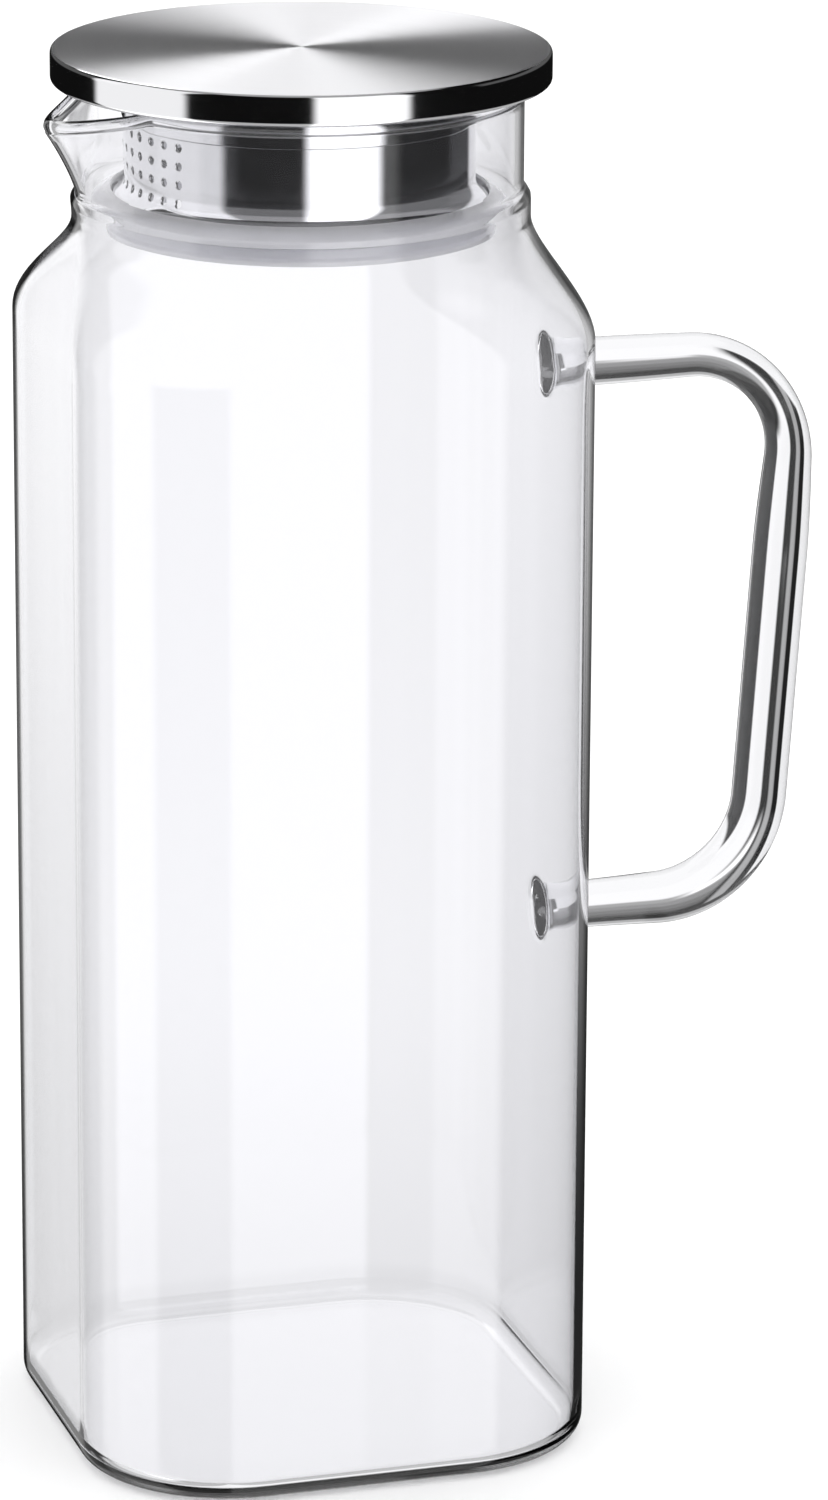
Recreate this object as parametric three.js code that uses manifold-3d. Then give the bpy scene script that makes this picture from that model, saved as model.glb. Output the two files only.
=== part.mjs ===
// Square glass water carafe with a rod handle, a pulled pouring lip and a steel lid with a strainer.
// Millimetres, +Z up. The origin is the middle of the base, on the axis of the neck.
// The handle points along +X, the pouring lip along -X.
import * as THREE from 'three';
import { mergeVertices } from 'three/addons/utils/BufferGeometryUtils.js';
import Module from 'manifold-3d';

// Glass body
const bodySide = 95; // outer width over the flat sides
const bodyCornerRadius = 28; // upright corners, outside
const bodyHeight = 206; // base to the foot of the shoulder
const shoulderHeight = 20; // foot of the shoulder to the neck
const shoulderBulge = 7.7; // how far the shoulder carries on upright before it leans in
const shoulderSweep = 6; // how far below the neck the shoulder turns upright again
const neckHeight = 24; // shoulder to rim
const neckInset = 7.9; // flat side of the body to the side of the neck
const neckSwell = 1.3; // how much wider the neck is at its foot
const neckSwellHeight = 6; // foot of the neck to where it is straight
const neckSwellEase = 2.6; // height over which it narrows there
const glassWall = 1.6;
const rimBead = 2.2; // thickness of the melted, rounded rim
const rimBeadHeight = 2.7;
const rimBeadOut = 0.35; // how far the rim stands out of the neck
const rimBeadTurn = 45; // degrees that its rounding goes on below its widest point
const baseThickness = 2;
const baseEdgeRadius = 3.4; // outer edge round the base
const floorEdgeRadius = 3; // inner edge round the floor

// Pouring lip, pulled out of the rim while hot
const lipReach = 7; // tip beyond the neck
const lipDepth = 24; // rim to where the pull starts
const lipDrop = 4.6; // tip below the rim
const lipTipRounding = 5; // degrees of the neck over which the tip is rounded
const lipSwell = 1.4; // power by which the pull grows up the neck
const lipDropSpread = 0.42; // power that spreads the drop wider than the pull

// Rod handle, fused to the flat side
const handleDrop = 10.6; // foot of the shoulder down to the upper foot of the handle
const handleSpan = 103.3; // between the middles of the two feet
const upperReach = 47; // flat side to where the upper run would meet the grip
const lowerReach = 40; // flat side to where the lower run would meet the grip
const upperBendRadius = 19.5;
const lowerBendRadius = 20;
const rodRadius = 4.4; // runs
const gripRadius = 5.1; // grip
const footFlare = 1.7; // how far a foot spreads beyond the rod
const footLength = 4; // flat side to where the rod is its own size again
const upperThinRun = 40; // upper foot to where the rod starts to swell
const upperTaper = 35; // length over which it swells to the grip
const lowerThinRun = 4; // lower foot to where the rod starts to swell
const lowerTaper = 30;
const bendSqueeze = 0.6; // how much thinner the rod was pulled in the upper bend
const bendSqueezeReach = 1.1; // how far that goes each way from its middle, as a share of the bend's length

// Lid: cap, underplate, collar and strainer sleeve, all steel sheet
const capOverhang = 4.9; // cap beyond the neck
const capHeight = 5.7; // underside of the skirt to the top
const capEdgeRadius = 1;
const capSheet = 0.8;
const hemWidth = 2.2; // skirt edge turned in under the underplate
const plateSheet = 0.8;
const pourChannel = 7; // neck bore to strainer sleeve
const sleeveSheet = 0.6;
const flareRadius = 3.4; // curve of the flared foot
const flareAngle = 80; // degrees that the foot turns outwards
const collarSheet = 0.6;
const collarHeight = 6;

// Strainer holes, one field facing the lip
const holeDiameter = 1.6;
const holeColumns = 10;
const holeRowPitch = 3.3;
const holeColumnPitch = 3.7; // along the sleeve
const holeBelowCollar = 1.6; // collar to the middle of the top row
const holeAboveFoot = 2.2; // least height of the bottom row over the edge of the sleeve's foot

// Silicone seal, gripping the flared foot of the sleeve
const sealAboveShoulder = 2.6; // foot of the neck up to the top of the fin's edge
const sealFinFall = 1.4; // edge of the flare down to the top of the fin's edge
const sealHeight = 6.2; // edge of the flare down to the underside of the seal
const sealFinEdge = 0.9; // thickness of the fin at its edge
const sealFinRoot = 0.8; // how much thicker the fin is at the body
const sealBody = 0.4; // body beyond the edge of the flare
const sealFootLip = 0.6; // lip round the underside, beyond the body
const sealFootHeight = 0.9;
const sealGrip = 9; // degrees of the flare that the seal laps over
const sealGripWall = 0.7; // thickness of that lap

// Clearances
const fit = 0.3; // between pieces that touch
const sealGap = 0.3; // fin edge to the rim that it passes

// Facets
const bodySides = 64; // round the glass body
const turnedSides = 48; // round each turned piece
const rodSides = 14;
const holeSides = 8;
const shoulderSteps = 7;
const swellSteps = 2;
const lipSteps = 4;
const rimSteps = 6;
const footSteps = 4; // round the glass base, the floor and the feet of the handle
const edgeSteps = 3; // round the edges of the cap
const flareSteps = 3;
const handleStep = 3.3; // along the rod
const weldDistance = 1e-4;

// Sizes that follow from those
const bodyHalf = bodySide / 2;
const neckRadius = bodyHalf - neckInset;
const neckFoot = bodyHeight + shoulderHeight;
const rimHeight = neckFoot + neckHeight;
const beadFoot = rimHeight - rimBeadHeight;
const neckBore = neckRadius - glassWall;
const rimBore = neckRadius + rimBeadOut - rimBead;
const sleeveRadius = neckBore - pourChannel;
const sleeveDepth = neckHeight - sealAboveShoulder - sealFinFall; // rim to the edge of the sleeve's foot
const capRadius = neckRadius + capOverhang;

const wasm = await Module();
wasm.setup();

const finishes = {
  glass: { color: 0xe6ebee, roughness: 0.04, metalness: 0, transparent: true, opacity: 0.35 },
  polishedSteel: { color: 0xc4c5c8, roughness: 0.12, metalness: 1 },
  brushedSteel: { color: 0xb4b5b8, roughness: 0.32, metalness: 1 },
  silicone: { color: 0xd3d4d7, roughness: 0.5, metalness: 0 },
};

function piece(name, geometry, finish) {
  const mesh = new THREE.Mesh(geometry, new THREE.MeshStandardMaterial(finishes[finish]));
  mesh.name = name;
  return mesh;
}

// Points of an arc in a plane, as pairs, both ends included.
function arc(centreX, centreY, radius, fromAngle, toAngle, steps) {
  const points = [];
  for (let i = 0; i <= steps; i++) {
    const angle = fromAngle + ((toAngle - fromAngle) * i) / steps;
    points.push([centreX + radius * Math.cos(angle), centreY + radius * Math.sin(angle)]);
  }
  return points;
}

// Joins shared vertices and drops the triangles that shrink to a line.
function weld(geometry) {
  geometry.deleteAttribute('normal');
  geometry.deleteAttribute('uv');
  const welded = mergeVertices(geometry, weldDistance);
  const index = welded.index.array;
  const kept = [];
  for (let i = 0; i < index.length; i += 3) {
    const [a, b, c] = [index[i], index[i + 1], index[i + 2]];
    if (a !== b && b !== c && c !== a) kept.push(a, b, c);
  }
  welded.setIndex(kept);
  welded.computeVertexNormals();
  return welded;
}

// Turned solid about Z. The profile holds [radius, height] pairs, anticlockwise round the material,
// and either starts and ends on the axis or closes on itself.
function turned(profile) {
  const points = profile.map(([radius, height]) => new THREE.Vector2(radius, height));
  const onAxis = profile[0][0] === 0;
  if (!onAxis) points.push(points[0].clone());
  const lathe = new THREE.LatheGeometry(points, turnedSides);
  lathe.rotateX(Math.PI / 2);
  return weld(lathe);
}

// Solid skinned over a row of rings of equal count, with a flat cap on the first and the last ring.
function lofted(rings) {
  const count = rings[0].length;
  const positions = rings.flat().flatMap((point) => point.toArray());
  const index = [];
  for (let ring = 0; ring + 1 < rings.length; ring++) {
    for (let side = 0; side < count; side++) {
      const a = ring * count + side;
      const b = ring * count + ((side + 1) % count);
      index.push(a, b, b + count, a, b + count, a + count);
    }
  }
  const addCap = (ring, first) => {
    const middle = positions.length / 3;
    const centre = new THREE.Vector3();
    rings[ring].forEach((point) => centre.addScaledVector(point, 1 / count));
    positions.push(...centre.toArray());
    for (let side = 0; side < count; side++) {
      const a = ring * count + side;
      const b = ring * count + ((side + 1) % count);
      if (first) index.push(middle, b, a);
      else index.push(middle, a, b);
    }
  };
  addCap(0, true);
  addCap(rings.length - 1, false);
  const geometry = new THREE.BufferGeometry();
  geometry.setAttribute('position', new THREE.Float32BufferAttribute(positions, 3));
  geometry.setIndex(index);
  geometry.computeVertexNormals();
  return geometry;
}

function toManifold(geometry) {
  const vertProperties = new Float32Array(geometry.attributes.position.array);
  const triVerts = new Uint32Array(geometry.index.array);
  return new wasm.Manifold(new wasm.Mesh({ numProp: 3, vertProperties, triVerts }));
}

function fromManifold(solid) {
  const mesh = solid.getMesh();
  const geometry = new THREE.BufferGeometry();
  geometry.setAttribute('position', new THREE.BufferAttribute(mesh.vertProperties, 3));
  geometry.setIndex(new THREE.BufferAttribute(mesh.triVerts, 1));
  geometry.computeVertexNormals();
  return geometry;
}

// Rounded square of a half width and a corner radius, as points at equal angles round Z.
// Its corner radius equal to its half width makes it a circle.
function roundedSquare(half, corner, height) {
  const straight = half - corner;
  const points = [];
  for (let i = 0; i < bodySides; i++) {
    const angle = (2 * Math.PI * i) / bodySides;
    const cos = Math.cos(angle);
    const sin = Math.sin(angle);
    const wide = Math.max(Math.abs(cos), Math.abs(sin));
    const narrow = Math.min(Math.abs(cos), Math.abs(sin));
    const offset = straight * (wide - narrow); // corner's middle from the ray at this angle
    const reachCorner = straight * (wide + narrow) + Math.sqrt(corner ** 2 - offset ** 2);
    const onFlat = (half * narrow) / wide <= straight;
    const reach = onFlat ? half / wide : reachCorner;
    points.push(new THREE.Vector3(reach * cos, reach * sin, height));
  }
  return points;
}

// Pulls the rings near the rim out into the lip. Seen from above, the two edges of the lip leave the neck
// along tangents and meet at its rounded tip. The pull fades out down the neck and leaves the bead its shape.
function pulledIntoLip(ring) {
  const lipFoot = rimHeight - lipDepth;
  const tangentAngle = Math.acos(neckRadius / (neckRadius + lipReach));
  const rounding = THREE.MathUtils.degToRad(lipTipRounding);
  const outline = (turn) => 1 / Math.cos(tangentAngle - turn) - 1;
  return ring.map((point) => {
    const climb = Math.min((point.z - lipFoot) / (beadFoot - lipFoot), 1);
    const turn = Math.hypot(Math.atan2(point.y, -point.x), rounding);
    if (climb <= 0 || turn >= tangentAngle) return point;
    const share = outline(turn) / outline(rounding);
    const swell = climb ** lipSwell;
    const radius = Math.hypot(point.x, point.y);
    const moved = point.clone().multiplyScalar((radius + lipReach * share * swell) / radius);
    moved.z = point.z - lipDrop * share ** lipDropSpread * swell;
    return moved;
  });
}

// Glass shell: up the outside from the flat base, over the rim and down the inside to the floor.
function carafeBody() {
  const footRadius = neckRadius + neckSwell;
  const swellTop = neckFoot + neckSwellHeight;
  const wallSection = (inset, height, blend) => {
    const half = THREE.MathUtils.lerp(bodyHalf, footRadius, blend) - inset;
    const corner = THREE.MathUtils.lerp(bodyCornerRadius, footRadius, blend) - inset;
    return roundedSquare(half, corner, height);
  };
  const neckSection = (inset, height) => {
    const straight = THREE.MathUtils.smoothstep(height, swellTop - neckSwellEase, swellTop);
    const radius = neckRadius + neckSwell * (1 - straight) - inset;
    return roundedSquare(radius, radius, height);
  };
  // Lean of the shoulder: x is how far the section has gone from the body's to the neck's.
  const lean = new THREE.CubicBezierCurve(
    new THREE.Vector2(0, bodyHeight),
    new THREE.Vector2(0, bodyHeight + shoulderBulge),
    new THREE.Vector2(1, neckFoot - shoulderSweep),
    new THREE.Vector2(1, neckFoot),
  );
  const shoulder = lean.getPoints(shoulderSteps);
  // The inside of the leaning wall sits lower, so that the wall keeps its thickness.
  const innerFall = glassWall * Math.sin(Math.atan((bodyHalf - footRadius) / shoulderHeight));
  const rimRadius = rimBead / 2;
  const rimTurn = THREE.MathUtils.degToRad(rimBeadTurn);
  const neckHeights = [];
  for (let i = 0; i < swellSteps; i++) neckHeights.push(swellTop - neckSwellEase * (1 - i / swellSteps));
  for (let i = 0; i < lipSteps; i++) neckHeights.push(swellTop + ((beadFoot - swellTop) * i) / lipSteps);
  const rings = [];

  for (const [x, y] of arc(0, baseEdgeRadius, baseEdgeRadius, -Math.PI / 2, 0, footSteps)) {
    rings.push(wallSection(baseEdgeRadius - x, y, 0));
  }
  shoulder.forEach(({ x, y }) => rings.push(wallSection(0, y, x)));
  neckHeights.forEach((height) => rings.push(neckSection(0, height)));
  for (const [x, y] of arc(0, 0, 1, -rimTurn, Math.PI + rimTurn, rimSteps)) {
    rings.push(neckSection(rimRadius * (1 - x) - rimBeadOut, rimHeight - (rimBeadHeight / 2) * (1 - y)));
  }
  neckHeights.reverse().forEach((height) => rings.push(neckSection(glassWall, height)));
  shoulder.reverse().forEach(({ x, y }) => rings.push(wallSection(glassWall, y - innerFall, x)));
  for (const [x, y] of arc(0, baseThickness + floorEdgeRadius, floorEdgeRadius, 0, -Math.PI / 2, footSteps)) {
    rings.push(wallSection(glassWall + floorEdgeRadius - x, y, 0));
  }
  return piece('carafe_body', lofted(rings.map(pulledIntoLip)), 'glass');
}

// Glass rod bent to a handle, in a group on the flat side of the body.
// X points out of the side, Z up from the lower foot.
function rodHandle() {
  const corners = [
    new THREE.Vector2(0, handleSpan),
    new THREE.Vector2(upperReach, handleSpan),
    new THREE.Vector2(lowerReach, 0),
    new THREE.Vector2(0, 0),
  ];
  const path = new THREE.CurvePath();
  let last = corners[0];
  const bend = (corner, radius) => {
    const inward = corners[corner].clone().sub(corners[corner - 1]).normalize();
    const outward = corners[corner + 1].clone().sub(corners[corner]).normalize();
    const turn = inward.angleTo(outward);
    const start = corners[corner].clone().addScaledVector(inward, -radius * Math.tan(turn / 2));
    const middle = start.clone().add(new THREE.Vector2(inward.y, -inward.x).multiplyScalar(radius));
    const angle = Math.atan2(start.y - middle.y, start.x - middle.x);
    path.add(new THREE.LineCurve(last, start));
    path.add(new THREE.EllipseCurve(middle.x, middle.y, radius, radius, angle, angle - turn, true));
    last = path.curves.at(-1).getPoint(1);
  };
  bend(1, upperBendRadius);
  bend(2, lowerBendRadius);
  path.add(new THREE.LineCurve(last, corners[3]));

  const length = path.getLength();
  const bendLength = path.curves[1].getLength();
  const bendMiddle = path.curves[0].getLength() + bendLength / 2;
  const radiusAt = (distance) => {
    const fromLower = length - distance;
    const upperSwell = THREE.MathUtils.smoothstep(distance, upperThinRun, upperThinRun + upperTaper);
    const lowerSwell = THREE.MathUtils.smoothstep(fromLower, lowerThinRun, lowerThinRun + lowerTaper);
    const offBend = Math.min(Math.abs(distance - bendMiddle) / (bendSqueezeReach * bendLength), 1);
    const squeeze = bendSqueeze * Math.cos((offBend * Math.PI) / 2) ** 2;
    const short = Math.max(1 - Math.min(distance, fromLower) / footLength, 0);
    const spread = footFlare * (1 - Math.sqrt(1 - short ** 2));
    return rodRadius + (gripRadius - rodRadius) * upperSwell * lowerSwell - squeeze + spread;
  };
  const run = length - 2 * footLength;
  const runSteps = Math.round(run / handleStep);
  const stations = [];
  for (let i = 0; i < footSteps; i++) stations.push((footLength * i) / footSteps);
  for (let i = 0; i <= runSteps; i++) stations.push(footLength + (run * i) / runSteps);
  for (let i = footSteps - 1; i >= 0; i--) stations.push(length - (footLength * i) / footSteps);

  const rings = stations.map((distance) => {
    const at = path.getPointAt(distance / length);
    const along = path.getTangentAt(distance / length);
    const radius = radiusAt(distance);
    const ring = [];
    for (let i = 0; i < rodSides; i++) {
      const angle = (2 * Math.PI * i) / rodSides;
      const out = radius * Math.cos(angle);
      ring.push(new THREE.Vector3(at.x + out * along.y, radius * Math.sin(angle), at.y - out * along.x));
    }
    return ring;
  });
  // The feet are cut flat where they meet the side.
  rings[0].forEach((point) => (point.x = 0));
  rings.at(-1).forEach((point) => (point.x = 0));
  return piece('handle', lofted(rings), 'glass');
}

// The lid is placed with its zero height at the rim. Its underplate seats a clearance above it.
const seat = fit;
const hemTop = seat + capSheet;
const hemRadius = capRadius - hemWidth;
const collarTop = seat - fit;
const collarBottom = collarTop - collarHeight;
const sleeveBore = sleeveRadius - sleeveSheet;

// Drawn cap: flat top, rounded edge, and a skirt whose foot is turned in to hold the underplate.
function lidCap() {
  const top = seat + capHeight;
  const inner = capRadius - capSheet;
  const profile = [
    [0, top - capSheet],
    [inner, top - capSheet],
    [inner, hemTop],
    [hemRadius, hemTop],
    [hemRadius, seat],
    ...arc(capRadius - capEdgeRadius, seat + capEdgeRadius, capEdgeRadius, -Math.PI / 2, 0, edgeSteps),
    ...arc(capRadius - capEdgeRadius, top - capEdgeRadius, capEdgeRadius, 0, Math.PI / 2, edgeSteps),
    [0, top],
  ];
  return piece('lid_cap', turned(profile), 'brushedSteel');
}

// Pressed underplate: its edge lies on the hem, its step seats on the rim and its middle plugs the sleeve.
function lidUnderplate() {
  const edgeRadius = capRadius - capSheet - fit;
  const edge = hemTop + fit;
  const stepRadius = hemRadius - fit;
  const plugRadius = sleeveBore - fit;
  const profile = [
    [0, collarBottom],
    [plugRadius, collarBottom],
    [plugRadius, seat],
    [stepRadius, seat],
    [stepRadius, edge],
    [edgeRadius, edge],
    [edgeRadius, edge + plateSheet],
    [stepRadius - plateSheet, edge + plateSheet],
    [stepRadius - plateSheet, seat + plateSheet],
    [plugRadius - plateSheet, seat + plateSheet],
    [plugRadius - plateSheet, collarBottom + plateSheet],
    [0, collarBottom + plateSheet],
  ];
  return piece('lid_underplate', turned(profile), 'brushedSteel');
}

// Ring that clamps the head of the sleeve on the plug.
function sleeveCollar() {
  const inner = sleeveRadius + fit;
  const outer = inner + collarSheet;
  const profile = [
    [inner, collarBottom],
    [outer, collarBottom],
    [outer, collarTop],
    [inner, collarTop],
  ];
  return piece('sleeve_collar', turned(profile), 'polishedSteel');
}

// Flared foot of the sleeve: its curve turns outwards about this centre, seen in section.
const flareTurn = THREE.MathUtils.degToRad(flareAngle);
const flareEnd = Math.PI + flareTurn;
const flareCentre = [sleeveRadius + flareRadius, flareRadius * Math.sin(flareTurn) - sleeveDepth];
const flareArc = (radius, from, to) => arc(...flareCentre, radius, from, to, flareSteps);

// Tube of steel sheet, flared at its foot, with a field of punched holes facing the lip.
function strainerSleeve() {
  const profile = [
    ...flareArc(flareRadius + sleeveSheet, Math.PI, flareEnd),
    ...flareArc(flareRadius, flareEnd, Math.PI),
    [sleeveRadius, collarTop],
    [sleeveBore, collarTop],
  ];
  let sleeve = toManifold(turned(profile));
  const punchLength = 2 * flareRadius;
  const topRow = collarBottom - holeBelowCollar;
  const fieldHeight = topRow + sleeveDepth - holeAboveFoot;
  for (let row = 0; row * holeRowPitch <= fieldHeight; row++) {
    for (let column = 0; column < holeColumns; column++) {
      const punch = new THREE.CylinderGeometry(holeDiameter / 2, holeDiameter / 2, punchLength, holeSides);
      punch.rotateZ(Math.PI / 2);
      punch.translate(-sleeveRadius, 0, topRow - row * holeRowPitch);
      punch.rotateZ(((column - (holeColumns - 1) / 2) * holeColumnPitch) / sleeveRadius);
      sleeve = sleeve.subtract(toManifold(weld(punch)));
    }
  }
  return piece('strainer_sleeve', fromManifold(sleeve), 'polishedSteel');
}

// Moulded ring with a fin that wipes the neck and a groove that grips the flared foot of the sleeve.
function sealRing() {
  const bottom = -sleeveDepth - sealHeight;
  const fin = rimBore - sealGap;
  const finTop = -sleeveDepth - sealFinFall;
  const bore = sleeveRadius;
  const body = sleeveRadius + flareRadius * (1 - Math.cos(flareTurn)) + sealBody;
  const grooveEnd = flareEnd + fit / flareRadius;
  const underFlare = flareRadius + sleeveSheet + fit;
  const grooveStart = Math.PI + Math.acos(flareRadius / underFlare);
  const lapEnd = flareEnd - THREE.MathUtils.degToRad(sealGrip);
  const [lapTop] = flareArc(flareRadius - fit - sealGripWall, lapEnd, flareEnd);
  const profile = [
    [bore, bottom],
    [body + sealFootLip, bottom],
    [body + sealFootLip, bottom + sealFootHeight],
    [body, bottom + sealFootHeight + sealFootLip],
    [body, finTop - sealFinEdge - sealFinRoot],
    [fin, finTop - sealFinEdge],
    [fin, finTop],
    lapTop,
    ...flareArc(flareRadius - fit, lapEnd, grooveEnd),
    ...flareArc(underFlare, grooveEnd, grooveStart),
  ];
  return piece('seal_ring', turned(profile), 'silicone');
}

const carafe = new THREE.Group();
carafe.add(carafeBody());

const handleSide = new THREE.Group();
handleSide.position.set(bodyHalf, 0, bodyHeight - handleDrop - handleSpan);
handleSide.add(rodHandle());
carafe.add(handleSide);

const lid = new THREE.Group();
lid.position.z = rimHeight;
lid.add(lidCap(), lidUnderplate(), sleeveCollar(), strainerSleeve(), sealRing());
carafe.add(lid);

export default carafe;
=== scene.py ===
from math import pi, radians

import bmesh
import bpy
import numpy as np
from mathutils import Matrix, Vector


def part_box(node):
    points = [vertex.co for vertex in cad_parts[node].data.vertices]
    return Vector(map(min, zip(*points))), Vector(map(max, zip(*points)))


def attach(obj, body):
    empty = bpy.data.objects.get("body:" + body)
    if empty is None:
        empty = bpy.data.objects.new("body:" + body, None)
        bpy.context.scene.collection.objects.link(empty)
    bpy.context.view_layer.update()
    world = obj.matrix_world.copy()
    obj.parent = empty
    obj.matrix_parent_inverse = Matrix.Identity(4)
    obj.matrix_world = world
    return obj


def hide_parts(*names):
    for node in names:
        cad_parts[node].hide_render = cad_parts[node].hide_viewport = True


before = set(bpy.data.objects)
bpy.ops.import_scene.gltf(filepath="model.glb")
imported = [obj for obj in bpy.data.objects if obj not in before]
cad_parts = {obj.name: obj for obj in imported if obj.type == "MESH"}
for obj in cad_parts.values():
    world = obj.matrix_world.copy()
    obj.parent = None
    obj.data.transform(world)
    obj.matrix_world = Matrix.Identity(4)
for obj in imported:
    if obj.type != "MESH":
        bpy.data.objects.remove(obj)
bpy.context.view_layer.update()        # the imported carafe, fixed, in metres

mm = 0.001
scene = bpy.context.scene
scene.view_settings.view_transform = "Standard"


# sRGB hex to linear light: a channel c is c / 12.92 when it is dark, and ((c + 0.055) / 1.055) ^ 2.4 otherwise
def linear(hexColour):
    channel = np.array([int(hexColour[i:i + 2], 16) for i in (1, 3, 5)]) / 255
    light = np.where(channel <= 0.04045, channel / 12.92, ((channel + 0.055) / 1.055) ** 2.4)
    return (*light.tolist(), 1.0)


# one node: settings are its own properties, and an input is either a value or the output that is linked to it
def addNode(tree, kind, inputs, **settings):
    node = tree.nodes.new(kind)
    for name, value in settings.items():
        setattr(node, name, value)
    for name, value in inputs.items():
        if isinstance(value, bpy.types.NodeSocket):
            tree.links.new(value, node.inputs[name])
        else:
            node.inputs[name].default_value = value
    return node


# an empty material and its node tree
def newMaterial(name):
    material = bpy.data.materials.new(name)
    material.use_nodes = True
    material.node_tree.nodes.clear()
    return material, material.node_tree


# texture scale that makes features of a size in millimetres, on coordinates in metres
def scaleFor(size):
    return 1 / (size * mm)


# Camera: stands at the photograph's angle, a long way off
view = {
    "azimuth": -17.091,   # degrees from the front towards the handle
    "elevation": 16.527,
    "distance": 1282.3,
    "roll": 0.326,
    "aimHeight": 130.0,   # on the axis of the neck
    "across": 20.6,       # the camera slides sideways and down from there
    "up": -3.6,
    "lens": 169.2,
    "sensor": 36.0,
    "farthest": 20.0,     # metres
}


# back, from the carafe to the camera, is (sin a cos e, -cos a cos e, sin e) for azimuth a and elevation e. A level
# line and the upright one are square to it, and the roll turns both about it
def addCamera():
    azimuth, elevation, roll = (radians(view[name]) for name in ("azimuth", "elevation", "roll"))
    back = np.array([np.sin(azimuth) * np.cos(elevation), -np.cos(azimuth) * np.cos(elevation), np.sin(elevation)])
    level = np.array([np.cos(azimuth), np.sin(azimuth), 0])
    upright = np.cross(back, level)
    right = level * np.cos(roll) + upright * np.sin(roll)
    up = upright * np.cos(roll) - level * np.sin(roll)
    aim = np.array([0, 0, view["aimHeight"]])
    place = aim + back * view["distance"] + right * view["across"] + up * view["up"]
    camera = bpy.data.objects.new("camera", bpy.data.cameras.new("camera"))
    camera.data.lens = view["lens"]
    camera.data.sensor_width = view["sensor"]
    camera.data.clip_end = view["farthest"]
    turn = np.stack([right, up, back], 1)
    camera.matrix_world = Matrix.Translation(place * mm) @ Matrix(turn.tolist()).to_4x4()
    scene.collection.objects.link(camera)
    scene.camera = camera


addCamera()
print("camera placed")


# Studio: a room of soft panels round the carafe, given by direction, with a different setting for each finish, as a
# photographer masks and lights glass and steel apart. A panel is (azimuth, half width, low edge, high edge, level) in
# degrees: azimuth counts to the right of the camera as seen from the carafe, and 180 is straight behind it
studio = {
    "roomLight": 1.3,     # even light on matt surfaces
    # reflections on the cap
    "cap": {"dark": 0.006, "edge": 2.5, "panels": [
        (-80, 27, -70, 50, 1.2),         # left softbox
        (29.3, 22.2, -70, 50, 1.45),     # right softbox
        (-168, 25, 29, 56, 3.5),         # overhead softbox, from behind
        (180, 190, 56, 100, 0.5),        # ceiling
        (180, 90, 0, 24, 0.11),          # grey wall behind
        (180, 190, -100, -25, 0.6),      # table
    ]},
    # reflections on the walls of the glass and inside them
    "glass": {"dark": 0.02, "edge": 4.0, "panels": [
        (-80, 27, -70, 50, 1.0),         # left softbox
        (28.5, 23.5, -70, 50, 1.0),      # right softbox
        (-24, 29, -4, 50, 1.0),          # overhead softbox, between them
        (180, 190, 50, 100, 1.0),        # ceiling
        (-145.5, 8, -40, 50, 0.7),       # white wall behind on the left, brighter towards its top
        (-145.5, 8, -16, 50, 0.35),
        (-122, 16, -70, 50, 0.35),       # grey wall between it and the softbox
        (-165, 12, -19, -14, 0.14),      # grey strip between it and the wall on the right
        (163, 22, -16, 50, 0.15),        # grey wall behind on the right, lighter at its end
        (149, 9, -17, 50, 0.4),
        (176, 14, -100, -25, 0.45),      # table, brighter close by
        (180, 190, -100, -38, 0.5),
    ]},
    # reflections on the sleeve and the seal, and inside the far walls, seen through the near wall
    "neck": {"dark": 0.032, "edge": 4.0, "panels": [
        (-115.5, 64.5, -40, 100, 0.6),   # left softbox and the wall behind it, brighter towards its top
        (-115.5, 64.5, -16, 100, 0.4),
        (29.3, 24.7, -40, 100, 1.8),     # right softbox
        (162, 18, -90, 90, 1.0),         # screen behind
        (180, 190, -7, 100, 0.2),        # haze under the lid, thicker at its top
        (180, 190, 32, 100, 0.25),
    ]},
    # seen through the solid rod, which turns left and right round
    "rod": {"dark": 0.015, "edge": 1.5, "panels": [
        (169.5, 11, -30, -13, 1.0),      # screen behind
        (180, 8, -13, -8, 0.36),         # its light falls off above it
        (180, 8, -8, -2, 0.26),
        (180, 8, -2, 4, 0.16),
        (180, 8, 4, 9, 0.08),
        (-122.5, 27.5, -30, 15, 0.97),   # left screen, and a strip beside it
        (-165, 4, -30, 15, 0.4),
        (86, 26, -30, 15, 0.6),          # right screen
        (-15, 45, -30, 15, 0.97),        # front screen, which only views from behind see
        (180, 190, 25, 100, 0.4),        # ceiling, brighter towards its middle
        (180, 190, 38, 100, 0.4),
        (180, 190, -100, -30, 0.97),     # table
        (-176.5, 4, -13.5, -9.5, 0.97),  # screen seen through the mouth
    ]},
    # seen straight through both walls of the body: white, and greyer low down where the table falls off
    "through": {"dark": 0.8, "edge": 2.5, "panels": [(180, 190, -20.3, 100, 0.2)]},
}


# a panel is a product of smooth steps: inside its half width in azimuth, above its low edge and below its high edge
def addPanel(tree, panel, edge, azimuth, elevation, soFar):
    middle, half, low, high, level = panel
    soft = radians(edge)
    off = addNode(tree, "ShaderNodeMath", {0: azimuth, 1: radians(middle)}, operation="SUBTRACT")
    wrapped = addNode(tree, "ShaderNodeMath", {0: off.outputs[0], 1: pi, 2: -pi}, operation="WRAP")
    aside = addNode(tree, "ShaderNodeMath", {0: wrapped.outputs[0]}, operation="ABSOLUTE").outputs[0]
    for source, limit, sign in [(aside, half, -1), (elevation, low, 1), (elevation, high, -1)]:
        outer, inner = radians(limit) - sign * soft, radians(limit) + sign * soft
        inside = addNode(tree, "ShaderNodeMapRange", {"From Min": outer, "From Max": inner, "Value": source},
                         interpolation_type="SMOOTHSTEP")
        level = addNode(tree, "ShaderNodeMath", {0: inside.outputs[0], 1: level}, operation="MULTIPLY").outputs[0]
    return addNode(tree, "ShaderNodeMath", {0: soFar, 1: level}, operation="ADD").outputs[0]


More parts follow.
